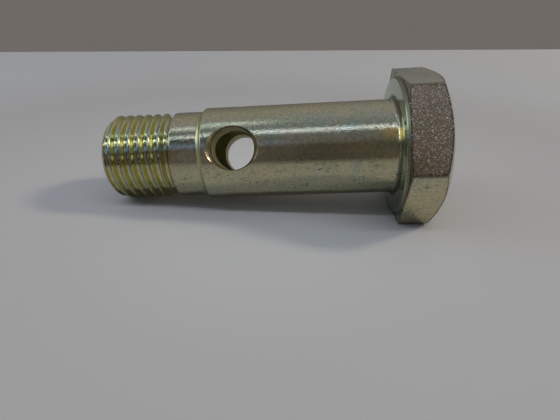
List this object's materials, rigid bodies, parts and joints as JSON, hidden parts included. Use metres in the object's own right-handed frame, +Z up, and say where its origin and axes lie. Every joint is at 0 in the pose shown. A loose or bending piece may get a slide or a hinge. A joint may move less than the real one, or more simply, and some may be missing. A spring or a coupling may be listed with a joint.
{
  "type": "banjo bolt",
  "caption": "Hexagon-head banjo bolt, hollow from its threaded end, with a countersunk port across its plain shank that feeds a ring fitting.",
  "frame": {"origin": "on the level surface the bolt lies on, under the centre of its bounding box", "axes": "+X along the surface under the bolt, from its threaded end to its head; +Z up from the surface"},
  "size_m": [0.0536, 0.0254, 0.0224],
  "materials": {
    "yellow_zinc": "yellow-passivated zinc plate over turned steel, semi-gloss, with faint turning marks"
  },
  "bodies": {
    "root": {"banjo_bolt": "yellow_zinc"}
  },
  "joints": []
}
